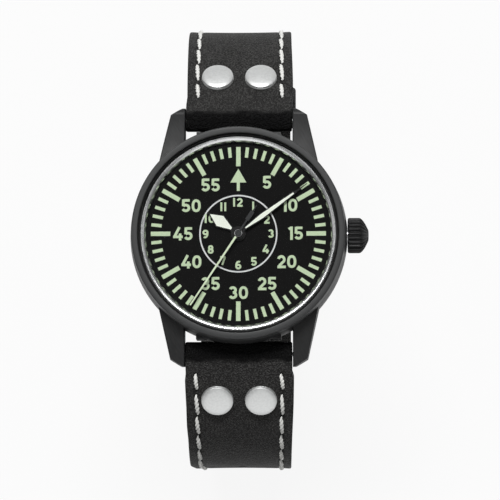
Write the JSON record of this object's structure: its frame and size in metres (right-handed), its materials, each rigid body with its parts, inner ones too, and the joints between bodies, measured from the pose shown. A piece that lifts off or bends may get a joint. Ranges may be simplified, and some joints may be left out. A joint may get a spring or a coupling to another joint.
{
  "type": "pilot watch",
  "caption": "Automatic pilot watch with a black case, large fluted crown, luminous dial and hands, and a riveted leather strap with a pin buckle, unbuckled.",
  "frame": {"origin": "on the axis of the hands, in the outer face of the case back", "axes": "+Z out of the dial, +X to 3 o'clock and the crown, +Y to 12 o'clock"},
  "size_m": [0.0441, 0.0838, 0.0655],
  "materials": {
    "black_case": "matt black coated steel, circular brushed",
    "black_hands": "matt black lacquer",
    "black_dial": "matt black lacquer",
    "luminous": "pale green luminous paint",
    "crystal": "clear sapphire with an anti-reflective coating",
    "gasket": "matt",
    "polished_steel": "mirror polished",
    "steel": "fine brushed",
    "satin_steel": "satin",
    "movement_brass": "fine matt gilt",
    "movement_plate": "rhodium plated, fine grained",
    "ruby": "polished synthetic ruby",
    "blued_steel": "blued",
    "ring_plastic": "moulded",
    "leather": "fine grained, satin"
  },
  "bodies": {
    "case": {"mid_case": "black_case", "bezel": "black_case", "crystal": "crystal", "crystal_gasket": "gasket", "flange_ring": "polished_steel", "case_back": "steel", "movement_ring": "ring_plastic", "crown_tube": "steel", "gaskets": "gasket", "dial": "black_dial", "dial_markers": "luminous", "main_plate": "movement_plate", "train_bridge": "movement_plate", "balance_cock": "movement_plate", "pallet_bridge": "movement_plate", "jewels": "ruby", "rotor_bearing": "steel", "movement_screws": "blued_steel", "spring_bar_tubes": "steel"},
    "seconds": {"seconds_wheel": "movement_brass", "seconds_hand": "black_hands", "seconds_hand_lume": "luminous"},
    "minutes": {"centre_wheel": "movement_brass", "cannon_pinion": "steel", "minute_hand": "black_hands", "minute_hand_lume": "luminous"},
    "hours": {"hour_wheel": "movement_brass", "hour_hand": "black_hands", "hour_hand_lume": "luminous"},
    "minute_work": {"minute_wheel": "movement_brass"},
    "third": {"third_wheel": "movement_brass"},
    "escape": {"escape_wheel": "steel"},
    "drum": {"barrel": "movement_brass", "mainspring": "steel"},
    "ratchet": {"ratchet_wheel": "steel", "barrel_arbor": "steel"},
    "crown_gear": {"crown_wheel": "steel"},
    "winding": {"winding_pinion": "steel"},
    "crown_and_stem": {"crown": "black_case", "winding_stem": "steel"},
    "clutch": {"clutch_wheel": "steel"},
    "reversing_gear": {"reversing_wheel": "movement_brass"},
    "reversing_drive": {"reversing_pinion": "steel"},
    "weight": {"rotor": "movement_plate"},
    "balance": {"balance_wheel": "movement_brass", "hairspring": "blued_steel"},
    "fork": {"pallet_fork": "steel"},
    "strap_12": {"strap_short": "leather", "rivets_short": "satin_steel", "keeper_fixed": "leather"},
    "loop": {"keeper_free": "leather"},
    "buckle": {"buckle_frame": "satin_steel", "buckle_bar": "satin_steel"},
    "tongue": {"buckle_tongue": "satin_steel"},
    "strap_6": {"strap_long": "leather", "rivets_long": "satin_steel"},
    "bar_tip_12_left": {"spring_bar_tip_12_left": "steel"},
    "bar_tip_12_right": {"spring_bar_tip_12_right": "steel"},
    "bar_tip_6_left": {"spring_bar_tip_6_left": "steel"},
    "bar_tip_6_right": {"spring_bar_tip_6_right": "steel"}
  },
  "joints": [
    {"name": "seconds_turn", "type": "hinge", "parent": "case", "child": "seconds", "pos_m": [0, 0, 0], "axis": [0, 0, -1], "continuous": true},
    {"name": "minute_turn", "type": "hinge", "parent": "case", "child": "minutes", "pos_m": [0, 0, 0], "axis": [0, 0, -1], "continuous": true},
    {"name": "hour_turn", "type": "hinge", "parent": "case", "child": "hours", "pos_m": [0, 0, 0], "axis": [0, 0, -1], "continuous": true},
    {"name": "minute_wheel_turn", "type": "hinge", "parent": "case", "child": "minute_work", "pos_m": [0.0036, 0, 0], "axis": [0, 0, -1], "continuous": true},
    {"name": "third_turn", "type": "hinge", "parent": "case", "child": "third", "pos_m": [-0.00369, -0.00258, 0], "axis": [0, 0, -1], "continuous": true},
    {"name": "escape_turn", "type": "hinge", "parent": "case", "child": "escape", "pos_m": [0.00261, -0.00373, 0], "axis": [0, 0, -1], "continuous": true},
    {"name": "barrel_turn", "type": "hinge", "parent": "case", "child": "drum", "pos_m": [0.00107, 0.00606, 0], "axis": [0, 0, -1], "continuous": true},
    {"name": "crown_turn", "type": "hinge", "parent": "case", "child": "winding", "pos_m": [0.0084, 0, 0.0046], "axis": [1, 0, 0], "continuous": true},
    {"name": "crown_pull", "type": "slide", "parent": "winding", "child": "crown_and_stem", "axis": [1, 0, 0], "range_m": [0, 0.001]},
    {"name": "clutch_shift", "type": "slide", "parent": "winding", "child": "clutch", "axis": [1, 0, 0], "range_m": [-0.0006, 0]},
    {"name": "crown_wheel_turn", "type": "hinge", "parent": "case", "child": "crown_gear", "pos_m": [0.0064, 0, 0], "axis": [0, 0, 1], "continuous": true},
    {"name": "ratchet_turn", "type": "hinge", "parent": "case", "child": "ratchet", "pos_m": [0.00107, 0.00606, 0], "axis": [0, 0, 1], "continuous": true},
    {"name": "reversing_pinion_turn", "type": "hinge", "parent": "case", "child": "reversing_drive", "pos_m": [-0.00402, 0.00297, 0], "axis": [0, 0, 1], "continuous": true},
    {"name": "rotor_turn", "type": "hinge", "parent": "case", "child": "weight", "pos_m": [0, 0, 0], "axis": [0, 0, 1], "continuous": true},
    {"name": "reversing_wheel_turn", "type": "hinge", "parent": "case", "child": "reversing_gear", "pos_m": [-0.00402, 0.00297, 0], "axis": [0, 0, 1], "continuous": true},
    {"name": "balance_swing", "type": "hinge", "parent": "case", "child": "balance", "pos_m": [0.00413, -0.0079, 0], "axis": [0, 0, 1], "range_deg": [-270, 270], "stiffness_Nm_per_rad": 0.00000002, "deforming": ["hairspring"]},
    {"name": "fork_rock", "type": "hinge", "parent": "case", "child": "fork", "pos_m": [0.00341, -0.00593, 0], "axis": [0, 0, 1], "range_deg": [-6, 6]},
    {"name": "strap_12_swing", "type": "hinge", "parent": "case", "child": "strap_12", "pos_m": [0, 0.0219, 0.003], "axis": [1, 0, 0], "range_deg": [0, 75]},
    {"name": "strap_6_swing", "type": "hinge", "parent": "case", "child": "strap_6", "pos_m": [0, -0.0219, 0.003], "axis": [-1, 0, 0], "range_deg": [0, 75]},
    {"name": "keeper_slide", "type": "hinge", "parent": "strap_12", "child": "loop", "pos_m": [0, 0.01789, -0.02629], "axis": [1, 0, 0], "range_deg": [-9, 43]},
    {"name": "buckle_swing", "type": "hinge", "parent": "strap_12", "child": "buckle", "pos_m": [0, 0.01589, -0.04904], "axis": [1, 0, 0], "range_deg": [-60, 20]},
    {"name": "tongue_swing", "type": "hinge", "parent": "buckle", "child": "tongue", "pos_m": [0, 0.01589, -0.04904], "axis": [1, 0, 0], "range_deg": [0, 70]},
    {"name": "bar_tip_12_left_press", "type": "slide", "parent": "case", "child": "bar_tip_12_left", "axis": [1, 0, 0], "range_m": [0, 0.0008], "stiffness_N_per_m": 500, "springref_m": -0.0005},
    {"name": "bar_tip_12_right_press", "type": "slide", "parent": "case", "child": "bar_tip_12_right", "axis": [-1, 0, 0], "range_m": [0, 0.0008], "stiffness_N_per_m": 500, "springref_m": -0.0005},
    {"name": "bar_tip_6_left_press", "type": "slide", "parent": "case", "child": "bar_tip_6_left", "axis": [1, 0, 0], "range_m": [0, 0.0008], "stiffness_N_per_m": 500, "springref_m": -0.0005},
    {"name": "bar_tip_6_right_press", "type": "slide", "parent": "case", "child": "bar_tip_6_right", "axis": [-1, 0, 0], "range_m": [0, 0.0008], "stiffness_N_per_m": 500, "springref_m": -0.0005}
  ],
  "couplings": [
    {"joint": "minute_turn", "follows": "seconds_turn", "ratio": 0.016667},
    {"joint": "hour_turn", "follows": "seconds_turn", "ratio": 0.0013889},
    {"joint": "minute_wheel_turn", "follows": "seconds_turn", "ratio": -0.0055556},
    {"joint": "third_turn", "follows": "seconds_turn", "ratio": -0.13333},
    {"joint": "escape_turn", "follows": "seconds_turn", "ratio": -9},
    {"joint": "barrel_turn", "follows": "seconds_turn", "ratio": -0.0023148},
    {"joint": "clutch_shift", "follows": "crown_pull", "ratio": -0.6},
    {"joint": "crown_wheel_turn", "follows": "crown_turn", "ratio": 0.5},
    {"joint": "ratchet_turn", "follows": "crown_turn", "ratio": -0.3},
    {"joint": "reversing_pinion_turn", "follows": "crown_turn", "ratio": 1.6667},
    {"joint": "reversing_wheel_turn", "follows": "rotor_turn", "ratio": -0.92308}
  ]
}
